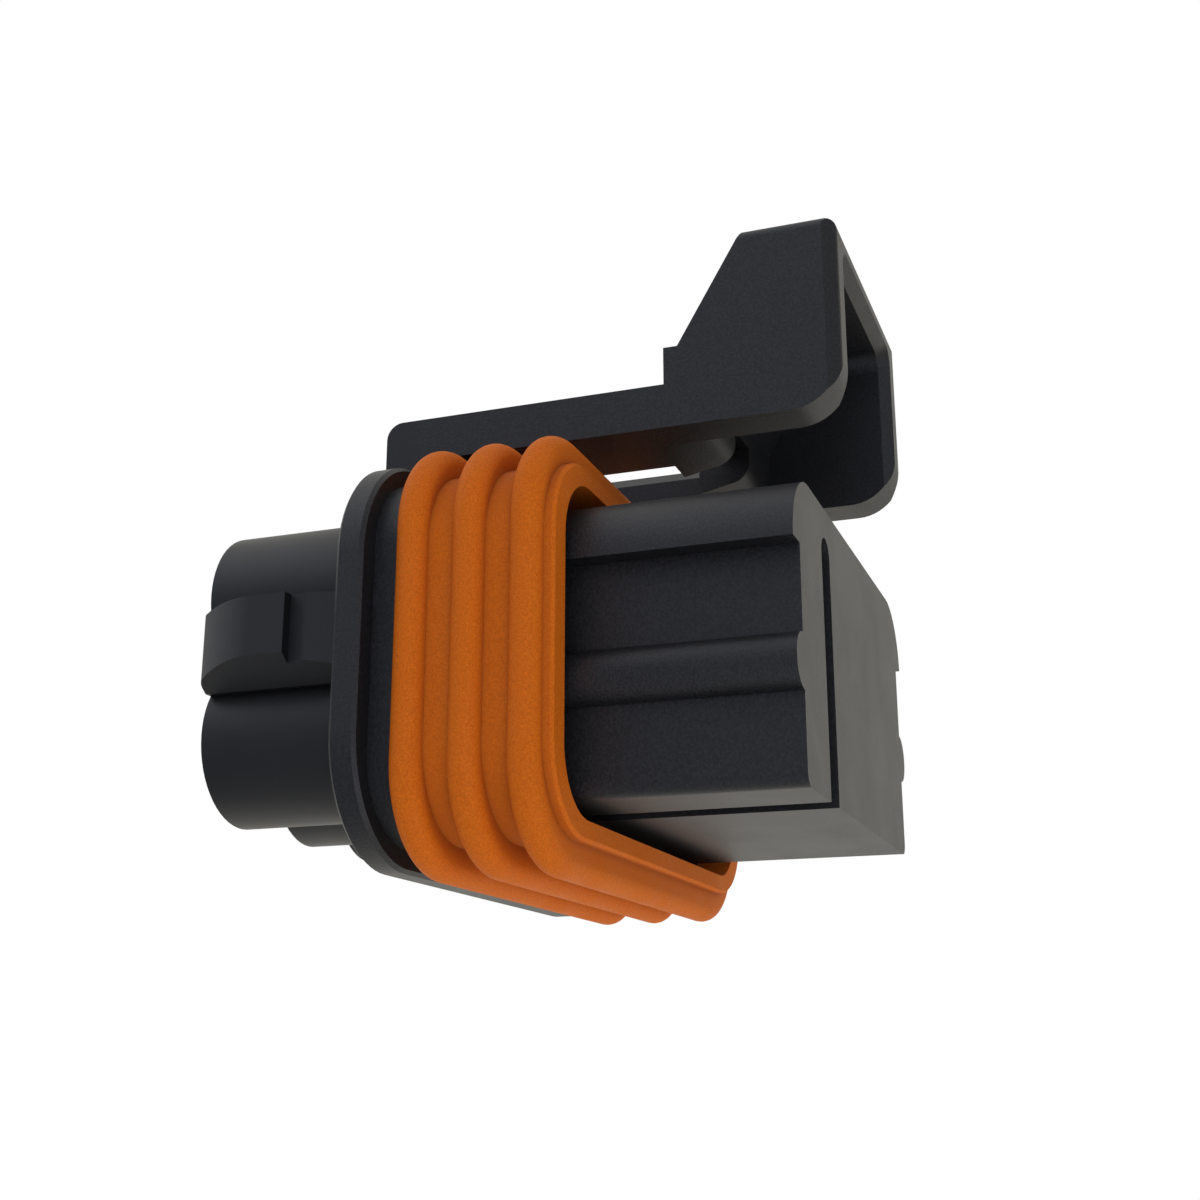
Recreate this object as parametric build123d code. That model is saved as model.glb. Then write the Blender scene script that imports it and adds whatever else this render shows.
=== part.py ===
from build123d import *
import os

# A sealed wire-to-wire connector housing: a black moulding with a nose, a flange and
# eight wire barrels, an orange perimeter seal round its neck, and a hooded latch above.
# +X is the mating direction, +Z is the latch side, and Y = 0 is the middle of the nose.
# X is measured from the middle of the whole length and Z from the seal's lowest crest.
# All sizes are millimetres.

# Nose that enters the mating half
nose_height = 11.9
nose_panel_half = 9.95           # middle plane to the flat side panel
nose_shoulder_half = 11.0        # middle plane to the rounded top shoulder
nose_shoulder_radius = 2.85
nose_foot_radius = 0.55
bead_radius = 1.08               # half-round guide bead along each side
bead_height = 4.55               # bead centre above the nose's underside
slot_centre = -5.4               # key slot, between the first two columns of cavities
slot_width = 1.45
slot_top = 10.65                 # above the nose's underside
slot_end_behind_lip = 2.6

# Wire cavities
columns = 4
rows = 2
column_pitch = 5.5
row_pitch = 5.8
field_rise = 0.17                # cavity field above the middle of the nose
barrel_radius = 3.3
barrel_end_depth = 24.2          # nose front to the barrels' open end
seal_bore_radius = 2.45
seal_bore_length = 8.6
bore_mouth_chamfer = 0.35
bore_cone_length = 1.2
terminal_bore_radius = 1.3
front_wall = 1.6                 # closed wall in front of the terminal bores
web_half_height = 1.3            # solid between neighbouring barrels

# Neck that carries the seal, and the flange behind it
neck_half_width = 11.55
neck_half_height = 6.6
neck_corner = 2.6
neck_front_depth = 10.3          # nose front to the neck's front shoulder
neck_overlap = 1.0               # length of nose left inside the neck
ring_drop = 0.05                 # taller ring behind the seal, this far below its sleeve
flange_half_width = 13.7
flange_half_height = 8.27
flange_corner = 4.8
flange_front_depth = 16.15
flange_thickness = 1.15
flange_edge = 0.15

# Perimeter seal
seal_front_depth = 8.65          # nose front to the seal's front lip
seal_half_width = 12.7           # outside of the sleeve
seal_half_height = 7.42
seal_corner = 3.4
seal_clearance = 0.02            # the seal is moulded this much clear of the neck
ribs = 3
first_rib_depth = 9.75           # nose front to the first crest
rib_pitch = 2.37
side_rib_height = 0.58           # crests above the sleeve, at the sides
top_rib_height = 1.31            # the same above and below
crest_corner = 4.2
rib_radius = 0.67
lip_edge = 0.12

# Snap lug on each side, for a rear cover
lug_reach = 12.85                # middle plane to the lug's flat top
lug_low = 5.95                   # lug's flat top, above the nose's underside
lug_high = 8.4
lug_foot_reach = 11.45           # where the sloping lower side meets the barrel
lug_foot_rise = 4.9
lug_flat_rear_depth = 21.55      # nose front to the start of the ramp
lug_flat_front_depth = 19.95     # nose front to the catching step
lug_ramp_reach = 11.95           # height of the ramp at its rear end
lug_ramp_swell = 0.2             # how far the ramp's arc stands proud of a straight line
lug_rear_drop = 0.4              # how much the top side curves down at the rear end
lug_rear_radius = 0.45
lug_base_reach = 12.37
lug_groove_length = .61
lug_ridge_length = .16
lug_ridge_reach = 12.46
lug_strap_reach = 11.95

# Latch
latch_rise = 15.68               # nose underside to the arms' underside
arm_thickness = 1.92
latch_half_width = 6.94
arm_inner_half = 2.59            # half of the gap between the arms
arm_rear_depth = 18.86           # nose front to the arms' rear end
arm_rear_radius = 0.75
arm_gap_chamfer = 0.55           # on the upper inner edges of the arms
leg_length = 2.6                 # legs under the arms, along X
leg_root = 1.0                   # leg inside the flange
bridge_length = 1.8              # rear bridge between the arms
step_depth = 6.15                # nose front to the step up to the hood
step_rise = 1.64
step_length = .6
hood_overhang = 1.24             # hood front past the nose front
hood_rise = 24.15                # nose underside to the hood's top
hood_slope_top_depth = 2.64
hood_side_wall = 1.95
hood_top_wall = 1.2
hood_back_wall = 1.1
hood_heel_radius = 2.1           # big corner at the bottom of the front
hood_edge_radius = 0.5
hood_inner_radius = .8
hood_mouth_flare = .4            # the opening widens by this much, over the depth below
hood_mouth_depth = .5
lock_lug_inner_half = 1.15
lock_lug_rear_depth = 7.04       # nose front to the face that catches
lock_lug_front_depth = 4.68
lead_in_rise = .5
lead_in_radius = .95
past = 1.0                       # how far cutting tools run on into open space

# Places that follow from the sizes above
x_front = (barrel_end_depth - hood_overhang) / 2
seal_rear_depth = first_rib_depth + (ribs - 1) * rib_pitch + rib_radius
crest_half_width = seal_half_width + side_rib_height
crest_half_height = seal_half_height + top_rib_height
z_mid = crest_half_height
z_field = z_mid + field_rise
z_floor = z_mid - nose_height / 2
x_flange_rear = x_front - flange_front_depth - flange_thickness
x_barrel_end = x_front - barrel_end_depth
x_inside_flange = x_flange_rear + flange_thickness / 2
y_outer_column = (columns - 1) / 2 * column_pitch
z_arm = z_floor + latch_rise
z_arm_top = z_arm + arm_thickness
z_hood_top = z_floor + hood_rise
hood_inner_half = latch_half_width - hood_side_wall


def at_depth(depth):
    """X of a place that lies this far behind the nose's front face."""
    return x_front - depth


def block(x_low, x_high, half_width, half_height, corner):
    """A bar along X with rounded corners, centred on the nose."""
    outline = Plane.YZ.offset(x_low) * Pos(0, z_mid) * RectangleRounded(
        2 * half_width, 2 * half_height, corner)
    return extrude(outline, x_high - x_low)


def rod(x_low, x_high, y, z, radius):
    """A round bar along X."""
    return extrude(Plane.YZ.offset(x_low) * Pos(y, z) * Circle(radius), x_high - x_low)


def box(x_low, x_high, y_low, y_high, z_low, z_high):
    """A rectangular block between two corners."""
    size = (x_high - x_low, y_high - y_low, z_high - z_low)
    centre = ((x_high + x_low) / 2, (y_high + y_low) / 2, (z_high + z_low) / 2)
    return Pos(*centre) * Box(*size)


def cavity_places():
    """(Y, Z) of every wire cavity."""
    for column in range(columns):
        for row in range(rows):
            y = (column - (columns - 1) / 2) * column_pitch
            z = z_field + (row - (rows - 1) / 2) * row_pitch
            yield y, z


def nose():
    """The nose: shoulders above, flat panels, one bead a side and a flat underside."""
    top = nose_height
    arc_y = nose_shoulder_half - nose_shoulder_radius
    arc_z = top - nose_shoulder_radius
    foot = nose_foot_radius
    crown = Line((0, top), (arc_y, top))
    shoulder = CenterArc((arc_y, arc_z), nose_shoulder_radius, 0, 90)
    ledge = Line((nose_shoulder_half, arc_z), (nose_panel_half, arc_z))
    panel = Line((nose_panel_half, arc_z), (nose_panel_half, foot))
    foot_arc = CenterArc((nose_panel_half - foot, foot), foot, 270, 90)
    underside = Line((nose_panel_half - foot, 0), (0, 0))
    middle = Line((0, 0), (0, top))
    half = make_face([crown, shoulder, ledge, panel, foot_arc, underside, middle])
    bead = Pos(nose_panel_half, bead_height) * Circle(bead_radius)
    half = half + bead
    outline = half + mirror(half, Plane.YZ)
    length = neck_front_depth + neck_overlap
    return extrude(Plane.YZ.offset(at_depth(length)) * Pos(0, z_floor) * outline, length)


def key_slot():
    """The slot cut up through the nose, open below, with a round top."""
    radius = slot_width / 2
    x_rear = at_depth(seal_front_depth + slot_end_behind_lip)
    z_round = z_floor + slot_top - radius
    y_low = slot_centre - radius
    y_high = slot_centre + radius
    x_past = x_front + past
    cut = box(x_rear, x_past, y_low, y_high, z_floor - past, z_round)
    return cut + rod(x_rear, x_past, slot_centre, z_round, radius)


def barrel(y, z):
    """One wire barrel, from inside the flange to its open end."""
    return rod(x_barrel_end, x_inside_flange, y, z, barrel_radius)


def wire_bore(y, z):
    """Seal bore with a chamfered mouth, a cone and the terminal bore ahead of it."""
    x_cone = x_barrel_end + seal_bore_length
    x_terminal = x_cone + bore_cone_length
    mouth = bore_mouth_chamfer
    seal_bore = rod(x_barrel_end - past, x_cone, y, z, seal_bore_radius)
    chamfer_ring = Plane.YZ.offset(x_barrel_end) * Pos(y, z) * Circle(seal_bore_radius + mouth)
    chamfer_end = Plane.YZ.offset(x_barrel_end + mouth) * Pos(y, z) * Circle(seal_bore_radius)
    cone_start = Plane.YZ.offset(x_cone) * Pos(y, z) * Circle(seal_bore_radius)
    cone_end = Plane.YZ.offset(x_terminal) * Pos(y, z) * Circle(terminal_bore_radius)
    terminal = rod(x_terminal, x_front - front_wall, y, z, terminal_bore_radius)
    return seal_bore + loft([chamfer_ring, chamfer_end]) + loft([cone_start, cone_end]) + terminal


def barrel_web():
    """Solid that fills the narrow spaces between neighbouring barrels."""
    return box(x_barrel_end, x_inside_flange, -y_outer_column, y_outer_column,
               z_field - web_half_height, z_field + web_half_height)


def flange():
    """The plate behind the seal, with eased edges."""
    plate = block(x_flange_rear, x_flange_rear + flange_thickness,
                  flange_half_width, flange_half_height, flange_corner)
    rims = plate.faces().filter_by(Axis.X).edges()
    return chamfer(rims, flange_edge)


def neck():
    """The section that carries the seal, with a taller ring against the flange."""
    x_ring = at_depth(seal_rear_depth + seal_clearance)
    core = block(x_inside_flange, at_depth(neck_front_depth), neck_half_width, neck_half_height,
                 neck_corner)
    ring = block(x_inside_flange, x_ring, seal_half_width - ring_drop,
                 seal_half_height - ring_drop, seal_corner - ring_drop)
    return core + ring


def snap_lug_top():
    """The +Y lug seen from above: ramp, flat, catching step, groove, ridge and strap."""
    x_rear = x_barrel_end
    x_flat = at_depth(lug_flat_rear_depth)
    x_step = at_depth(lug_flat_front_depth)
    x_ridge = x_step + lug_groove_length
    x_strap = x_ridge + lug_ridge_length
    swell_y = (lug_ramp_reach + lug_reach) / 2 + lug_ramp_swell
    ramp = ThreePointArc((x_rear, lug_ramp_reach), ((x_rear + x_flat) / 2, swell_y),
                         (x_flat, lug_reach))
    rest = Polyline((x_flat, lug_reach), (x_step, lug_reach), (x_step, lug_base_reach),
                    (x_ridge, lug_base_reach), (x_ridge, lug_ridge_reach),
                    (x_strap, lug_ridge_reach), (x_inside_flange, lug_strap_reach),
                    (x_inside_flange, y_outer_column), (x_rear, y_outer_column),
                    (x_rear, lug_ramp_reach))
    outline = make_face([ramp, rest])
    corner = outline.vertices().sort_by_distance((x_rear, lug_ramp_reach, 0))[0]
    return fillet(corner, lug_rear_radius)


def snap_lug_side():
    """The lug seen from the side, its top curving down towards the rear."""
    x_flat = at_depth(lug_flat_rear_depth)
    drop_mid = ((x_barrel_end + x_flat) / 2, lug_high - lug_rear_drop / 4)
    top = ThreePointArc((x_barrel_end, lug_high - lug_rear_drop), drop_mid, (x_flat, lug_high))
    rest = Polyline((x_flat, lug_high), (x_inside_flange, lug_high),
                    (x_inside_flange, lug_foot_rise), (x_barrel_end, lug_foot_rise),
                    (x_barrel_end, lug_high - lug_rear_drop))
    return make_face([top, rest])


def snap_lug_end():
    """The lug seen from the rear, its lower side sloping in to the barrel."""
    points = [(y_outer_column, lug_high), (lug_reach, lug_high), (lug_reach, lug_low),
              (lug_foot_reach, lug_foot_rise), (y_outer_column, lug_foot_rise)]
    return make_face(Polyline(*points, close=True))


def snap_lug():
    """The +Y lug, held to its three outlines."""
    from_above = extrude(Plane.XY * snap_lug_top(), lug_high)
    from_behind = extrude(Plane.YZ.offset(x_barrel_end) * snap_lug_end(),
                          x_inside_flange - x_barrel_end)
    from_side = extrude(Plane.XZ * snap_lug_side(), -lug_reach)
    return Pos(0, 0, z_floor) * (from_above & from_behind & from_side)


def latch_legs():
    """Two legs on the flange that carry the latch arms."""
    x_low = at_depth(arm_rear_depth)
    z_low = z_mid + flange_half_height - leg_root
    side = box(x_low, x_low + leg_length, arm_inner_half, latch_half_width, z_low, z_arm)
    return side + mirror(side, Plane.XZ)


def housing():
    """The black moulding without its latch."""
    body = nose() + neck() + flange() + barrel_web() + latch_legs()
    lug = snap_lug()
    body += lug + mirror(lug, Plane.XZ)
    for y, z in cavity_places():
        body += barrel(y, z)
    for y, z in cavity_places():
        body -= wire_bore(y, z)
    return body - key_slot()


def latch_side():
    """Side outline of the arms and the hood, in X and Z."""
    x_rear = at_depth(arm_rear_depth)
    x_step = at_depth(step_depth)
    x_tip = x_step + step_length
    x_slope = at_depth(hood_slope_top_depth)
    x_hood = x_front + hood_overhang
    z_step = z_arm_top + step_rise
    points = [(x_rear, z_arm), (x_rear, z_arm_top), (x_step, z_arm_top), (x_step, z_step),
              (x_tip, z_step), (x_slope, z_hood_top), (x_hood, z_hood_top), (x_hood, z_arm)]
    outline = make_face(Polyline(*points, close=True))
    tail = outline.vertices().sort_by_distance((x_rear, z_arm_top, 0))[0]
    return fillet(tail, arm_rear_radius)


def heel_corner():
    """What the heel's big radius leaves away, below the front of the hood."""
    x_hood = x_front + hood_overhang
    x_centre = x_hood - hood_heel_radius
    z_centre = z_arm + hood_heel_radius
    corner = box(x_centre, x_hood + past, -latch_half_width - past, latch_half_width + past,
                 z_arm - past, z_centre)
    round_bar = Cylinder(hood_heel_radius, 4 * latch_half_width, rotation=(90, 0, 0))
    return corner - Pos(x_centre, 0, z_centre) * round_bar


def hood_hollow():
    """The space inside the hood, open at the front and below, with a sloping back."""
    x_slope = at_depth(hood_slope_top_depth)
    run = x_slope - at_depth(step_depth) - step_length
    rise = z_hood_top - z_arm_top - step_rise
    slope_length = (run ** 2 + rise ** 2) ** 0.5
    shift = hood_back_wall * slope_length / rise
    z_ceiling = z_hood_top - hood_top_wall
    x_ceiling = x_slope + shift - hood_top_wall * run / rise
    x_foot = at_depth(lock_lug_front_depth)
    z_foot = z_hood_top - (x_slope + shift - x_foot) * rise / run
    x_past = x_front + hood_overhang + past
    points = [(x_foot, z_arm - past), (x_foot, z_foot), (x_ceiling, z_ceiling),
              (x_past, z_ceiling), (x_past, z_arm - past)]
    outline = make_face(Polyline(*points, close=True))
    hollow = extrude(Plane.XZ * outline, hood_inner_half, both=True)
    along = hollow.edges().filter_by(Axis.X).sort_by(Axis.Z)[-2:]
    return fillet(along, hood_inner_radius)


def mouth_section(depth):
    """Outline of the flared mouth, so far behind the hood's front."""
    grown = hood_mouth_flare * (1 - depth / hood_mouth_depth)
    y_side = hood_inner_half + grown
    z_low = z_arm - past
    height = z_hood_top - hood_top_wall + grown - z_low
    outline = Rectangle(2 * y_side, 2 * height)
    outline = fillet(outline.vertices(), hood_inner_radius)
    x_place = x_front + hood_overhang - depth
    return Plane.YZ.offset(x_place) * Pos(0, z_low) * outline


def hood_mouth():
    """What the flare round the hood's opening cuts away, running on in front of the hood."""
    flare = loft([mouth_section(hood_mouth_depth), mouth_section(-hood_mouth_depth)])
    x_hood = x_front + hood_overhang
    room = box(x_hood - hood_mouth_depth, x_hood + hood_mouth_depth, -latch_half_width,
               latch_half_width, z_arm - past, z_hood_top)
    return flare & room


def arm_gap():
    """The space between the arms, wider at the top and running on under the hood."""
    x_rear = at_depth(arm_rear_depth) + bridge_length
    x_catch = at_depth(lock_lug_rear_depth)
    inner = arm_inner_half
    outer = arm_inner_half + arm_gap_chamfer
    z_chamfer = z_arm_top - arm_gap_chamfer
    right = [(inner, z_arm - past), (inner, z_chamfer), (outer, z_arm_top),
             (outer, z_arm_top + past)]
    left = [(-y, z) for y, z in reversed(right)]
    section = Plane.YZ.offset(x_rear) * make_face(Polyline(*right, *left, close=True))
    between_lugs = box(x_catch, at_depth(lock_lug_front_depth) + past, -lock_lug_inner_half,
                       lock_lug_inner_half, z_arm - past, z_arm_top)
    return extrude(section, x_catch - x_rear) + between_lugs


def lead_in():
    """What the lock lugs' climbing, rounded underside leaves away."""
    x_rear = at_depth(lock_lug_rear_depth)
    x_lead = at_depth(lock_lug_front_depth)
    z_line = z_arm + lead_in_rise
    points = [(x_rear, z_arm - past), (x_rear, z_arm), (x_lead, z_line), (x_lead, z_arm_top),
              (x_lead + past, z_arm_top), (x_lead + past, z_arm - past)]
    outline = make_face(Polyline(*points, close=True))
    corner = outline.vertices().sort_by_distance((x_lead, z_line, 0))[0]
    return extrude(Plane.XZ * fillet(corner, lead_in_radius), hood_inner_half, both=True)


def latch():
    """Two arms with their lock lugs, and the hood, as one springy piece."""
    solid = extrude(Plane.XZ * latch_side(), latch_half_width, both=True)
    x_hood = x_front + hood_overhang
    side_rims = [edge for edge in solid.edges()
                 if abs(abs(edge.center().Y) - latch_half_width) < hood_edge_radius / 10
                 and (edge.center().Z > z_hood_top - hood_edge_radius
                      or edge.center().X > x_hood - hood_edge_radius)]
    brow = solid.edges().filter_by(Axis.Y).sort_by_distance((x_hood, 0, z_hood_top))[0]
    solid = fillet(side_rims + [brow], hood_edge_radius)
    solid = solid - heel_corner()
    return solid - hood_hollow() - hood_mouth() - arm_gap() - lead_in()


def seal_rib(depth):
    """One rib: a rod swept round the seal, on a band that fills its inside."""
    x_rib = at_depth(depth)
    half_width = crest_half_width - rib_radius
    half_height = crest_half_height - rib_radius
    corner = crest_corner - rib_radius
    band = block(x_rib - rib_radius, x_rib + rib_radius, half_width, half_height, corner)
    loop = (Plane.YZ.offset(x_rib) * Pos(0, z_mid) * RectangleRounded(
        2 * half_width, 2 * half_height, corner)).wire()
    section = Plane(origin=loop @ 0, z_dir=loop % 0) * Circle(rib_radius)
    return band + sweep(section, path=loop)


def seal():
    """The elastomer sleeve with its round ribs and an eased front lip."""
    fit = seal_clearance
    x_rear = at_depth(seal_rear_depth)
    x_lip = at_depth(seal_front_depth)
    sleeve = block(x_rear, x_lip, seal_half_width, seal_half_height, seal_corner)
    lip = sleeve.faces().sort_by(Axis.X)[-1].edges()
    sleeve = chamfer(lip, lip_edge)
    for index in range(ribs):
        sleeve += seal_rib(first_rib_depth + index * rib_pitch)
    bore = block(x_rear - past, x_lip + past, neck_half_width + fit, neck_half_height + fit,
                 neck_corner + fit)
    return sleeve - bore


parts = {"housing": housing(), "latch": latch(), "perimeter_seal": seal()}
os.makedirs("parts", exist_ok=True)
for name, shape in parts.items():
    export_step(shape, f"parts/{name}.step")
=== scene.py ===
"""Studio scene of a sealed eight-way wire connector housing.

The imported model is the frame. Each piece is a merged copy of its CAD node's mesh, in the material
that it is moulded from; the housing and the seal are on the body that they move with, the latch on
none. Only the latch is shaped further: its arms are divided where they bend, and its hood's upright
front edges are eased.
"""

import logging
import math
from collections.abc import Iterable
from dataclasses import dataclass
from enum import Enum

import bmesh
import bpy
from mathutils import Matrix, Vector


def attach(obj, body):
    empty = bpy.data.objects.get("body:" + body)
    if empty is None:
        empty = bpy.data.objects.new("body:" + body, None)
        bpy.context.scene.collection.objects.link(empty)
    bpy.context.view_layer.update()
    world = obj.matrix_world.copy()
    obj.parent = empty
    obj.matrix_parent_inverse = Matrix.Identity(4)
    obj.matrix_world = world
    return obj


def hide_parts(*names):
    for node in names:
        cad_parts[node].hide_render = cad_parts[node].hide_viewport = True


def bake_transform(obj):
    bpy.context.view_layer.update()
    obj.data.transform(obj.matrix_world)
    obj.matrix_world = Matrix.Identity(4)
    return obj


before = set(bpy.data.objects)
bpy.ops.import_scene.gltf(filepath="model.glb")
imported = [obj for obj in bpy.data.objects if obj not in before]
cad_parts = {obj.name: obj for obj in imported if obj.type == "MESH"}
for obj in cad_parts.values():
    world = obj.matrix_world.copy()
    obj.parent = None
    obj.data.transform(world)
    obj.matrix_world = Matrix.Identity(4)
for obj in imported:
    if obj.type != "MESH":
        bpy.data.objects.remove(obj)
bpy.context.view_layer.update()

MM = 0.001
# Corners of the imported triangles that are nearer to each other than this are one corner.
MERGE_MM = 0.0005
# Full weight on the larger faces, so a flat face stays flat beside the roundings that meet it.
LARGE_FACES_LEAD = 100
WHITE = "#ffffff"
log = logging.getLogger("housing_scene")

Socket = bpy.types.NodeSocket
Colour = tuple[float, float, float, float]


class Body(Enum):
    """The bodies that the pieces move with."""

    HOUSING = "housing"
    LATCH = "latch"


def linear(hex_colour: str) -> Colour:
    """Turn an sRGB hex colour into Blender's linear colour, by the curve of the sRGB standard.

    Args:
        hex_colour: Six hex digits with a leading hash sign.

    Returns:
        Linear red, green and blue with an alpha of one.
    """
    channels = [int(hex_colour[i : i + 2], 16) / 255 for i in (1, 3, 5)]
    lin = [c / 12.92 if c <= 0.04045 else ((c + 0.055) / 1.055) ** 2.4 for c in channels]
    return (lin[0], lin[1], lin[2], 1.0)


def add_node(
    tree: bpy.types.NodeTree,
    kind: str,
    inputs: dict[str | int, object] | None = None,
    **settings: object,
) -> bpy.types.Node:
    """Add a shader node with its settings, values and links.

    Args:
        tree: The material's or world's node tree.
        kind: The node's type name.
        inputs: For each input, by name or number, a value, or an output socket to link from.
        settings: Properties of the node itself.

    Returns:
        The new node.
    """
    node = tree.nodes.new(kind)
    for name, value in settings.items():
        setattr(node, name, value)
    for key, value in (inputs or {}).items():
        if isinstance(value, Socket):
            tree.links.new(value, node.inputs[key])
        else:
            node.inputs[key].default_value = value
    return node


def mix_colours(
    tree: bpy.types.NodeTree, factor: Socket, first: Colour | Socket, second: Colour | Socket
) -> Socket:
    """Mix two colours by a factor.

    Args:
        tree: The material's or world's node tree.
        factor: Zero gives the first colour, one the second.
        first: A colour, or a socket that gives one.
        second: A colour, or a socket that gives one.

    Returns:
        The mixed colour's socket.
    """
    node = add_node(tree, "ShaderNodeMix", data_type="RGBA")
    inputs = [s for s in node.inputs if s.type == "RGBA"]
    tree.links.new(factor, node.inputs[0])
    for socket, value in zip(inputs, (first, second)):
        if isinstance(value, Socket):
            tree.links.new(value, socket)
        else:
            socket.default_value = value
    return next(s for s in node.outputs if s.type == "RGBA")


def new_material(name: str) -> tuple[bpy.types.Material, bpy.types.NodeTree]:
    """Start a material with an empty node tree.

    Args:
        name: What the material really is.

    Returns:
        The material and its node tree.
    """
    material = bpy.data.materials.new(name)
    material.use_nodes = True
    material.node_tree.nodes.clear()
    return material, material.node_tree


def link_object(thing: bpy.types.Object) -> None:
    """Put an object into the scene."""
    bpy.context.scene.collection.objects.link(thing)


def cut_along(
    bm: bmesh.types.BMesh, place: Vector, normal: Vector, clear_outer: bool = False
) -> list[bmesh.types.BMEdge]:
    """Cut a mesh along a plane.

    Args:
        bm: The mesh.
        place: A point on the plane.
        normal: The direction that the plane faces.
        clear_outer: Whether what stands on the facing side is taken away.

    Returns:
        The edges that lie in the cut.
    """
    cut = bmesh.ops.bisect_plane(
        bm,
        geom=bm.verts[:] + bm.edges[:] + bm.faces[:],
        dist=MERGE_MM * MM,
        plane_co=place,
        plane_no=normal,
        clear_outer=clear_outer,
    )
    return [e for e in cut["geom_cut"] if isinstance(e, bmesh.types.BMEdge)]


@dataclass(frozen=True)
class Pattern:
    """An irregular pattern on a surface, made of noise on coordinates in metres.

    Attributes:
        width_mm: Width of one patch of it.
        octaves: How many finer layers lie on it.
        fineness: How strong each finer layer is beside the one before.
    """

    width_mm: float
    octaves: float
    fineness: float

    @property
    def scale(self) -> float:
        """The noise scale that gives a patch its width."""
        return 1.0 / (self.width_mm * MM)


@dataclass(frozen=True)
class MouldedPlastic:
    """Black engineering plastic, injection moulded in a fine spark-eroded tool.

    The eroded skin breaks the gloss into a soft sheen, so flat faces read dark grey when they are
    seen square on and pale grey at a glancing angle. Behind the flange the tool is polished, and
    the barrels are smoother and plainer.

    Attributes:
        name: The material's name.
        deep: Colour in the hollows of the grain.
        raised: Colour on the worn-bright tops of the grain.
        smooth_tint: Colour of the places that a polished tool formed.
        grain: The eroded skin. The real grain is about half as wide, which is too fine to show.
        grain_span: Noise values that are a full hollow and a full top.
        relief_mm: Height of the grain.
        flow: The faint clouds of gloss that the melt leaves.
        flow_span: Noise values that are the glossiest and the dullest.
        flow_swirl: How much the clouds are drawn out of shape.
        roughness: Lowest and highest roughness.
        polish_behind_mm: X behind which the tool is polished, and the grain fades out.
        polish_fade_mm: How far the fading reaches to each side of that place.
        polished_relief: Share of the grain's relief that the polished places keep.
        ior: Index of refraction, which sets how strongly the skin reflects.
    """

    name: str
    deep: str
    raised: str
    smooth_tint: str
    grain: Pattern
    grain_span: tuple[float, float]
    relief_mm: float
    flow: Pattern
    flow_span: tuple[float, float]
    flow_swirl: float
    roughness: tuple[float, float]
    polish_behind_mm: float
    polish_fade_mm: float
    polished_relief: float
    ior: float

    def build(self) -> bpy.types.Material:
        """Build the plastic's node tree.

        Returns:
            The finished material.
        """
        material, tree = new_material(self.name)
        coords = add_node(tree, "ShaderNodeTexCoord").outputs["Object"]
        place = add_node(tree, "ShaderNodeSeparateXYZ", {"Vector": coords})
        eroded = add_node(
            tree,
            "ShaderNodeMapRange",
            {
                "Value": place.outputs["X"],
                "From Min": (self.polish_behind_mm - self.polish_fade_mm) * MM,
                "From Max": (self.polish_behind_mm + self.polish_fade_mm) * MM,
            },
            clamp=True,
        ).outputs["Result"]
        grain = add_node(
            tree,
            "ShaderNodeTexNoise",
            {
                "Vector": coords,
                "Scale": self.grain.scale,
                "Detail": self.grain.octaves,
                "Roughness": self.grain.fineness,
            },
        ).outputs["Fac"]
        flow = add_node(
            tree,
            "ShaderNodeTexNoise",
            {
                "Vector": coords,
                "Scale": self.flow.scale,
                "Detail": self.flow.octaves,
                "Roughness": self.flow.fineness,
                "Distortion": self.flow_swirl,
            },
        ).outputs["Fac"]
        hollow, top = self.grain_span
        spark = add_node(
            tree,
            "ShaderNodeMapRange",
            {"Value": grain, "From Min": hollow, "From Max": top},
            clamp=True,
        ).outputs["Result"]
        skin_colour = mix_colours(tree, spark, linear(self.deep), linear(self.raised))
        colour = mix_colours(tree, eroded, linear(self.smooth_tint), skin_colour)
        glossiest, dullest = self.flow_span
        low, high = self.roughness
        gloss = add_node(
            tree,
            "ShaderNodeMapRange",
            {
                "Value": flow,
                "From Min": glossiest,
                "From Max": dullest,
                "To Min": low,
                "To Max": high,
            },
            clamp=True,
        ).outputs["Result"]
        strength = add_node(
            tree,
            "ShaderNodeMapRange",
            {"Value": eroded, "To Min": self.polished_relief, "To Max": 1.0},
        ).outputs["Result"]
        bump = add_node(
            tree,
            "ShaderNodeBump",
            {"Strength": strength, "Distance": self.relief_mm * MM, "Height": grain},
        ).outputs["Normal"]
        surface = add_node(
            tree,
            "ShaderNodeBsdfPrincipled",
            {"Base Color": colour, "Roughness": gloss, "IOR": self.ior, "Normal": bump},
        ).outputs["BSDF"]
        add_node(tree, "ShaderNodeOutputMaterial", {"Surface": surface})
        return material


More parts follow.
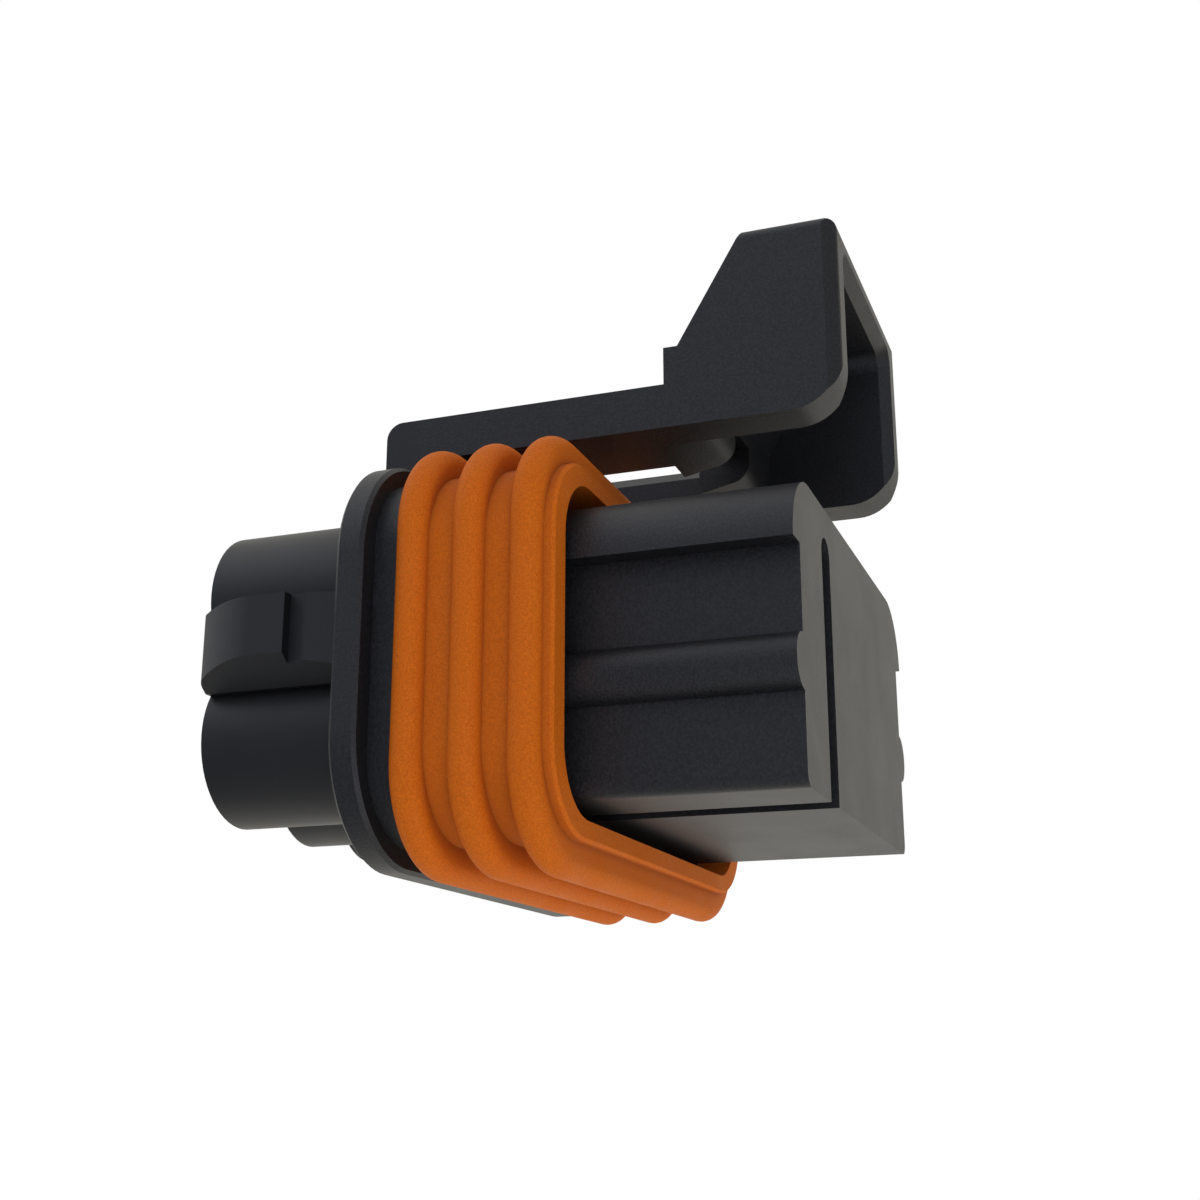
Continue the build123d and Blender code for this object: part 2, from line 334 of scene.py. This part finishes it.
@dataclass(frozen=True)
class SiliconeRubber:
    """Orange silicone rubber, moulded, with painted shade that darkens the grooves between its
    ribs.

    Light enters the skin a little, so the ribs glow at their crests and turn redder in the
    grooves, and the surface has a dry satin sheen with a faint powdery speckle.

    Attributes:
        name: The material's name.
        deep: Colour of the speckle's darker side.
        pale: Colour of the speckle's paler side.
        painted_groove_shade: Painted shade between the ribs, the colour that closed-in places take.
        speckle: The powdery speckle.
        speckle_span: Noise values that are fully deep and fully pale.
        relief_mm: Height of the speckle.
        relief_share: How much of that height shows.
        cloud: The slow change of gloss over the rubber.
        cloud_span: Noise values that are the glossiest and the dullest.
        roughness: Lowest and highest roughness.
        groove_mm: How near a neighbouring surface has to be for dust to settle.
        groove_span: Openness that is fully dusty and fully bare.
        groove_samples: Directions in which that openness is felt out.
        ior: Index of refraction, which sets how strongly the skin reflects.
        specular_level: How much of that reflection a dusted skin keeps; 0.5 is all of it.
        glow: Share of the light that enters the skin.
        glow_mm: How deep it goes.
        glow_reach: How far red, green and blue go, as shares of that depth.
    """

    name: str
    deep: str
    pale: str
    painted_groove_shade: str
    speckle: Pattern
    speckle_span: tuple[float, float]
    relief_mm: float
    relief_share: float
    cloud: Pattern
    cloud_span: tuple[float, float]
    roughness: tuple[float, float]
    # groove_mm: How near a neighbouring surface has to be for the painted shade to fall.
    groove_mm: float
    # groove_span: Openness that is fully in painted shade and fully bare.
    groove_span: tuple[float, float]
    groove_samples: int
    ior: float
    specular_level: float
    glow: float
    glow_mm: float
    glow_reach: tuple[float, float, float]

    def build(self) -> bpy.types.Material:
        """Build the rubber's node tree.

        Returns:
            The finished material.
        """
        material, tree = new_material(self.name)
        coords = add_node(tree, "ShaderNodeTexCoord").outputs["Object"]
        speckle = add_node(
            tree,
            "ShaderNodeTexNoise",
            {
                "Vector": coords,
                "Scale": self.speckle.scale,
                "Detail": self.speckle.octaves,
                "Roughness": self.speckle.fineness,
            },
        ).outputs["Fac"]
        cloud = add_node(
            tree,
            "ShaderNodeTexNoise",
            {
                "Vector": coords,
                "Scale": self.cloud.scale,
                "Detail": self.cloud.octaves,
                "Roughness": self.cloud.fineness,
            },
        ).outputs["Fac"]
        all_deep, all_pale = self.speckle_span
        powder = add_node(
            tree,
            "ShaderNodeMapRange",
            {"Value": speckle, "From Min": all_deep, "From Max": all_pale},
            clamp=True,
        ).outputs["Result"]
        open_skin = mix_colours(tree, powder, linear(self.deep), linear(self.pale))
        # Painted shade: the more closed in a place is, the more it takes the darker groove colour.
        openness = add_node(
            tree,
            "ShaderNodeAmbientOcclusion",
            {"Distance": self.groove_mm * MM},
            samples=self.groove_samples,
            only_local=True,
        ).outputs["AO"]
        all_shaded, all_bare = self.groove_span
        bare = add_node(
            tree,
            "ShaderNodeMapRange",
            {"Value": openness, "From Min": all_shaded, "From Max": all_bare},
            clamp=True,
        ).outputs["Result"]
        # Painted shade mixed in where the grooves between the ribs are closed in.
        colour = mix_colours(tree, bare, linear(self.painted_groove_shade), open_skin)
        glossiest, dullest = self.cloud_span
        low, high = self.roughness
        gloss = add_node(
            tree,
            "ShaderNodeMapRange",
            {
                "Value": cloud,
                "From Min": glossiest,
                "From Max": dullest,
                "To Min": low,
                "To Max": high,
            },
            clamp=True,
        ).outputs["Result"]
        bump = add_node(
            tree,
            "ShaderNodeBump",
            {
                "Strength": self.relief_share,
                "Distance": self.relief_mm * MM,
                "Height": speckle,
            },
        ).outputs["Normal"]
        surface = add_node(
            tree,
            "ShaderNodeBsdfPrincipled",
            {
                "Base Color": colour,
                "Roughness": gloss,
                "IOR": self.ior,
                "Specular IOR Level": self.specular_level,
                "Normal": bump,
                "Subsurface Weight": self.glow,
                "Subsurface Radius": self.glow_reach,
                "Subsurface Scale": self.glow_mm * MM,
            },
        ).outputs["BSDF"]
        add_node(tree, "ShaderNodeOutputMaterial", {"Surface": surface})
        return material


@dataclass
class Moulding:
    """One moulded piece, shown by a merged copy of its CAD node's mesh.

    Attributes:
        node: The CAD node that the piece stands for.
        name: The name of the shown piece.
        body: The body that it moves with.
        slot: The record's material slot; not used.
        sharp_deg: Faces that meet at more than this angle keep a crisp line.
    """

    node: str
    name: str
    body: Body
    slot: str
    sharp_deg: float

    def packed_mesh(self) -> bpy.types.Mesh:
        """The mesh of the CAD node, which stays as it is."""
        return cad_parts[self.node].data

    def merged_mesh(self) -> bpy.types.Mesh:
        """Copy the node's mesh, merge its triangles, and shape the copy further.

        Returns:
            The new mesh, in the node's own place.
        """
        mesh = self.packed_mesh().copy()
        mesh.name = self.name
        for stale in ("custom_normal", "sharp_edge", "sharp_face"):
            if stale in mesh.attributes:
                mesh.attributes.remove(mesh.attributes[stale])
        bm = bmesh.new()
        bm.from_mesh(mesh)
        bmesh.ops.remove_doubles(bm, verts=bm.verts, dist=MERGE_MM * MM)
        bmesh.ops.dissolve_degenerate(bm, edges=bm.edges, dist=MERGE_MM * MM)
        bmesh.ops.recalc_face_normals(bm, faces=bm.faces)
        self.shape_further(bm)
        for face in bm.faces:
            face.smooth = True
        bm.to_mesh(mesh)
        bm.free()
        mesh.set_sharp_from_angle(angle=math.radians(self.sharp_deg))
        return mesh

    def shape_further(self, bm: bmesh.types.BMesh) -> None:
        """Change the merged mesh; a plain moulding keeps the shape of its CAD node.

        Args:
            bm: The merged mesh.
        """

    def attach(self, piece: bpy.types.Object) -> None:
        """Let the piece move with its body.

        Args:
            piece: The shown piece.
        """
        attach(piece, self.body.value)

    def build(self, finish: bpy.types.Material) -> bpy.types.Object:
        """Make the shown piece and dress it.

        Args:
            finish: The material that it is moulded from.

        Returns:
            The finished piece.
        """
        mesh = self.merged_mesh()
        mesh.materials.clear()
        mesh.materials.append(finish)
        piece = bpy.data.objects.new(self.name, mesh)
        link_object(piece)
        levelled = piece.modifiers.new("levelled_normals", "WEIGHTED_NORMAL")
        levelled.mode = "FACE_AREA"
        levelled.weight = LARGE_FACES_LEAD
        levelled.keep_sharp = True
        self.attach(piece)
        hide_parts(self.node)
        log.info("%s: %d faces in %s", self.name, len(mesh.polygons), finish.name)
        return piece


@dataclass
class HousingMoulding(Moulding):
    """The nose, neck, flange, eight wire barrels, snap lugs and latch legs, one moulding."""

    node: str = "housing"
    name: str = "housing_moulding"
    body: Body = Body.HOUSING
    slot: str = "black_plastic"
    sharp_deg: float = 14.0


@dataclass
class LatchMoulding(Moulding):
    """The two arms, their bridge, the lock lugs and the hood.

    The arms are springs moulded in one with the legs behind them, and bend in front of these. The
    shown piece is put on no body and does not bend.

    Attributes:
        legs_mm: Length of the arms' rear end that stands on the legs and stays still.
        flex_mm: Length of the stretch in front of the legs that bends.
        flex_steps: Short straight stretches that the bend is made of.
        flat_mm: How far the flat on each upright front edge of the hood reaches, each way.
        flat_deg: Angle between that flat and the hood's front.
        round_mm: Radius that turns the flat into the front.
        round_steps: Facets in that rounding, the flat among them.
    """

    node: str = "latch"
    name: str = "latch_moulding"
    body: Body = Body.LATCH
    slot: str = "latch_plastic"
    sharp_deg: float = 14.0
    legs_mm: float = 2.6
    flex_mm: float = 8.4
    flex_steps: int = 14
    flat_mm: float = 0.54
    flat_deg: float = 45.0
    round_mm: float = 0.40
    round_steps: int = 4

    def flex_place(self, share: float) -> Vector:
        """Place on the middle line of the arms, from the legs (0) to the end of the bend (1)."""
        rear = min(v.co.x for v in self.packed_mesh().vertices)
        return Vector((rear + (self.legs_mm + self.flex_mm * share) * MM, 0.0, 0.0))

    def attach(self, piece: bpy.types.Object) -> None:
        """Bake the piece's place into its mesh; it is put on no body, and its arms do not bend.

        Args:
            piece: The shown piece.
        """
        start, end = self.flex_place(0.0), self.flex_place(1.0)
        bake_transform(piece)

    def shape_further(self, bm: bmesh.types.BMesh) -> None:
        """Divide the arms where they bend, then ease the hood's two upright front edges.

        Args:
            bm: The merged mesh.
        """
        self.divide_arms(bm)
        for side in (-1.0, 1.0):
            self.ease_hood_edge(bm, side)

    def divide_arms(self, bm: bmesh.types.BMesh) -> None:
        """Give the arms corners all along the stretch that bends.

        Args:
            bm: The merged mesh.
        """
        forward = Vector((1.0, 0.0, 0.0))
        for step in range(self.flex_steps + 1):
            cut_along(bm, self.flex_place(step / self.flex_steps), forward)

    def ease_hood_edge(self, bm: bmesh.types.BMesh, side: float) -> None:
        """Cut a flat on one upright front edge of the hood, and round it into the front.

        Args:
            bm: The merged mesh.
            side: The Y sign of the edge's side.
        """
        radius = self.round_mm * MM
        flat_angle = math.radians(self.flat_deg)
        run_out = radius * math.tan(flat_angle / 2)
        front = max(v.co.x for v in bm.verts)
        flank = max(v.co.y * side for v in bm.verts)
        inward = flank - self.flat_mm * MM - run_out
        centre = Vector((front - radius, side * inward, 0.0))
        for step in range(self.round_steps, 0, -1):
            angle = flat_angle * step / self.round_steps
            outward = Vector((math.cos(angle), side * math.sin(angle), 0.0))
            rim = cut_along(bm, centre + outward * radius, outward, clear_outer=True)
            # Sides of zero close a hole with any number of edges.
            bmesh.ops.holes_fill(bm, edges=rim, sides=0)
            bm.normal_update()


@dataclass
class PerimeterSeal(Moulding):
    """The orange sleeve with its front lip and three round ribs."""

    node: str = "perimeter_seal"
    name: str = "perimeter_seal_ring"
    body: Body = Body.HOUSING
    slot: str = "orange_seal"
    sharp_deg: float = 30.0


@dataclass(frozen=True)
class TentPanel:
    """One soft panel of the light tent: a white one adds light, a grey one takes it away.

    Attributes:
        name: Where it hangs, in words.
        towards: Direction from the object to its middle.
        gain: Brightness that it adds at its middle; below zero for a grey panel.
        rim: Where it fades out, as the cosine of the angle from its middle.
        core: Where it is at its full strength, as such a cosine.
    """

    name: str
    towards: tuple[float, float, float]
    gain: float
    rim: float = 0.35
    core: float = 0.95

    def brightness(self, tree: bpy.types.NodeTree, direction: Socket) -> Socket:
        """Build the panel's share of the brightness in any direction.

        Args:
            tree: The world's node tree.
            direction: The direction that is looked in.

        Returns:
            The share's socket.
        """
        middle = Vector(self.towards).normalized()
        facing = add_node(
            tree,
            "ShaderNodeVectorMath",
            {0: direction, 1: tuple(middle)},
            operation="DOT_PRODUCT",
            label=self.name,
        ).outputs["Value"]
        return add_node(
            tree,
            "ShaderNodeMapRange",
            {"Value": facing, "From Min": self.rim, "From Max": self.core, "To Max": self.gain},
            interpolation_type="SMOOTHSTEP",
        ).outputs["Result"]


@dataclass
class Studio:
    """Pale floor, white light tent and the camera.

    The camera stands below the object's base and looks up, so the floor shows only from above,
    and light from below reaches the undersides as it does in a white light tent.

    Attributes:
        eye_mm: Where the camera stands.
        look: The direction that it looks in.
        lens_mm: Its focal length.
        sensor_mm: The width of its sensor.
        clip_mm: Nearest and farthest distance that it sees.
        floor_reach_mm: Half the side of the floor.
        floor_fade_mm: Where the floor begins to melt into the surround, and where it has.
        card_dark: Colour of the floor between its fibres.
        card_pale: Colour of its fibres.
        card_fibre: The fibres of the floor's white card.
        surround: Brightness of the tent's bare walls as light on the object.
        dimmest: Brightness that no part of the tent falls below.
        cool: Tint of the side where the camera stands.
        warm: Tint of the side behind the object.
        tint_reach: Share of the way to the front or the back at which the tint is full.
        panels: The panels that hang in the tent.
    """

    eye_mm: tuple[float, float, float] = (23.97, -65.81, -7.20)
    look: tuple[float, float, float] = (-0.328, 0.901, 0.284)
    lens_mm: float = 48.6
    sensor_mm: float = 36.0
    clip_mm: tuple[float, float] = (1.0, 10000.0)
    floor_reach_mm: float = 900.0
    floor_fade_mm: tuple[float, float] = (60.0, 260.0)
    card_dark: str = "#ececec"
    card_pale: str = "#f0f0f0"
    card_fibre: Pattern = Pattern(width_mm=0.8, octaves=4.0, fineness=0.5)
    surround: float = 0.88
    dimmest: float = 0.06
    cool: str = "#ecf0ff"
    warm: str = "#fffcf2"
    tint_reach: float = 0.6
    panels: tuple[TentPanel, ...] = (
        TentPanel("white_upper_left", (-0.50, -0.72, 0.48), 0.32),
        TentPanel("white_lower_right", (0.50, -0.72, -0.48), 1.12),
        TentPanel("grey_camera_side", (0.0, -1.0, 0.0), -0.58),
        TentPanel("grey_nose_side", (1.0, -0.1, 0.0), -0.70),
        TentPanel("grey_lower_left", (-0.50, -0.72, -0.48), -0.62),
        TentPanel("white_barrel_side", (-1.0, -0.3, 0.1), 0.10),
        TentPanel("grey_below", (0.0, 0.0, -1.0), -0.20),
        TentPanel("white_behind", (0.0, 1.0, 0.0), 0.06),
    )

    def build_camera(self) -> bpy.types.Object:
        """Make the camera.

        Returns:
            The camera, set as the scene's own.
        """
        nearest, farthest = self.clip_mm
        data = bpy.data.cameras.new("view_camera")
        data.lens = self.lens_mm
        data.sensor_width = self.sensor_mm
        data.clip_start = nearest * MM
        data.clip_end = farthest * MM
        camera = bpy.data.objects.new("view_camera", data)
        camera.location = Vector(self.eye_mm) * MM
        camera.rotation_euler = Vector(self.look).to_track_quat("-Z", "Y").to_euler()
        link_object(camera)
        bpy.context.scene.camera = camera
        return camera

    def floor_material(self) -> bpy.types.Material:
        """Make the floor's matt white, which only the camera sees, and only from above.

        Returns:
            The floor's material.
        """
        material, tree = new_material("matt_white_card")
        coords = add_node(tree, "ShaderNodeTexCoord").outputs["Object"]
        distance = add_node(
            tree, "ShaderNodeVectorMath", {0: coords}, operation="LENGTH"
        ).outputs["Value"]
        near, far = self.floor_fade_mm
        fade = add_node(
            tree,
            "ShaderNodeMapRange",
            {"Value": distance, "From Min": near * MM, "From Max": far * MM},
            interpolation_type="SMOOTHSTEP",
        ).outputs["Result"]
        fibres = add_node(
            tree,
            "ShaderNodeTexNoise",
            {
                "Vector": coords,
                "Scale": self.card_fibre.scale,
                "Detail": self.card_fibre.octaves,
                "Roughness": self.card_fibre.fineness,
            },
        ).outputs["Fac"]
        colour = mix_colours(tree, fibres, linear(self.card_dark), linear(self.card_pale))
        card = add_node(
            tree, "ShaderNodeBsdfDiffuse", {"Color": colour, "Roughness": 1.0}
        ).outputs["BSDF"]
        glow = add_node(
            tree, "ShaderNodeEmission", {"Color": linear(WHITE), "Strength": 1.0}
        ).outputs["Emission"]
        faded = add_node(tree, "ShaderNodeMixShader", {0: fade, 1: card, 2: glow}).outputs[0]
        ray = add_node(tree, "ShaderNodeLightPath").outputs["Is Camera Ray"]
        back = add_node(tree, "ShaderNodeNewGeometry").outputs["Backfacing"]
        front = add_node(
            tree, "ShaderNodeMath", {0: 1.0, 1: back}, operation="SUBTRACT"
        ).outputs["Value"]
        shown = add_node(
            tree, "ShaderNodeMath", {0: ray, 1: front}, operation="MULTIPLY"
        ).outputs["Value"]
        clear = add_node(tree, "ShaderNodeBsdfTransparent").outputs["BSDF"]
        seen = add_node(tree, "ShaderNodeMixShader", {0: shown, 1: clear, 2: faded}).outputs[0]
        add_node(tree, "ShaderNodeOutputMaterial", {"Surface": seen})
        return material

    def build_floor(self) -> bpy.types.Object:
        """Make the floor at the object's foot.

        Returns:
            The floor.
        """
        mesh = bpy.data.meshes.new("studio_floor")
        bm = bmesh.new()
        bmesh.ops.create_grid(bm, x_segments=1, y_segments=1, size=self.floor_reach_mm * MM)
        bm.to_mesh(mesh)
        bm.free()
        mesh.materials.append(self.floor_material())
        floor = bpy.data.objects.new("studio_floor", mesh)
        link_object(floor)
        return floor

    def build_world(self) -> bpy.types.World:
        """Make the surround: plain white to the camera, and the tent's soft light to the rest.

        Returns:
            The world.
        """
        world = bpy.data.worlds.new("white_surround")
        world.use_nodes = True
        tree = world.node_tree
        tree.nodes.clear()
        direction = add_node(tree, "ShaderNodeTexCoord").outputs["Generated"]
        total: Socket | float = self.surround
        for panel in self.panels:
            share = panel.brightness(tree, direction)
            total = add_node(
                tree, "ShaderNodeMath", {0: total, 1: share}, operation="ADD"
            ).outputs["Value"]
        tent = add_node(
            tree, "ShaderNodeMath", {0: total, 1: self.dimmest}, operation="MAXIMUM"
        ).outputs["Value"]
        backward = add_node(tree, "ShaderNodeSeparateXYZ", {"Vector": direction}).outputs["Y"]
        behind = add_node(
            tree,
            "ShaderNodeMapRange",
            {"Value": backward, "From Min": -self.tint_reach, "From Max": self.tint_reach},
            clamp=True,
        ).outputs["Result"]
        tint = mix_colours(tree, behind, linear(self.cool), linear(self.warm))
        ray = add_node(tree, "ShaderNodeLightPath").outputs["Is Camera Ray"]
        strength = add_node(
            tree,
            "ShaderNodeMapRange",
            {"Value": ray, "To Min": tent, "To Max": 1.0},
        ).outputs["Result"]
        colour = mix_colours(tree, ray, tint, linear(WHITE))
        light = add_node(
            tree, "ShaderNodeBackground", {"Color": colour, "Strength": strength}
        ).outputs["Background"]
        add_node(tree, "ShaderNodeOutputWorld", {"Surface": light})
        bpy.context.scene.world = world
        return world

    def build(self) -> None:
        """Build the whole studio."""
        bpy.context.scene.view_settings.view_transform = "Standard"
        self.build_world()
        self.build_floor()
        self.build_camera()
        log.info("studio: floor, camera and a tent with %d panels", len(self.panels))


def plastic_finish() -> MouldedPlastic:
    """The black plastic of the housing and its latch."""
    return MouldedPlastic(
        name="black_glass_filled_pbt_eroded",
        deep="#030304",
        raised="#1a1b1d",
        smooth_tint="#0b0c0c",
        grain=Pattern(width_mm=0.10, octaves=2.0, fineness=0.6),
        grain_span=(0.38, 0.66),
        relief_mm=0.014,
        flow=Pattern(width_mm=3.0, octaves=3.0, fineness=0.5),
        flow_span=(0.3, 0.7),
        flow_swirl=0.6,
        roughness=(0.46, 0.50),
        polish_behind_mm=-6.2,
        polish_fade_mm=0.6,
        polished_relief=0.25,
        ior=1.52,
    )


def rubber_finish() -> SiliconeRubber:
    """The orange rubber of the perimeter seal."""
    return SiliconeRubber(
        name="orange_silicone_rubber_moulded",
        deep="#c65e09",
        pale="#e27210",
        # Painted shade for the grooves between the ribs.
        painted_groove_shade="#a85516",
        speckle=Pattern(width_mm=0.075, octaves=3.0, fineness=0.65),
        speckle_span=(0.34, 0.66),
        relief_mm=0.006,
        relief_share=0.5,
        cloud=Pattern(width_mm=2.5, octaves=2.0, fineness=0.5),
        cloud_span=(0.3, 0.7),
        roughness=(0.62, 0.78),
        groove_mm=1.0,
        groove_span=(0.45, 0.95),
        groove_samples=8,
        ior=1.41,
        specular_level=0.22,
        glow=0.1,
        glow_mm=0.5,
        glow_reach=(1.0, 0.35, 0.12),
    )


def main() -> None:
    """Build the pieces in order, then the studio."""
    logging.basicConfig(level=logging.INFO, format="%(message)s")
    plastic = plastic_finish().build()
    rubber = rubber_finish().build()
    HousingMoulding().build(plastic)
    LatchMoulding().build(plastic)
    PerimeterSeal().build(rubber)
    Studio().build()


if __name__ == "__main__":
    main()
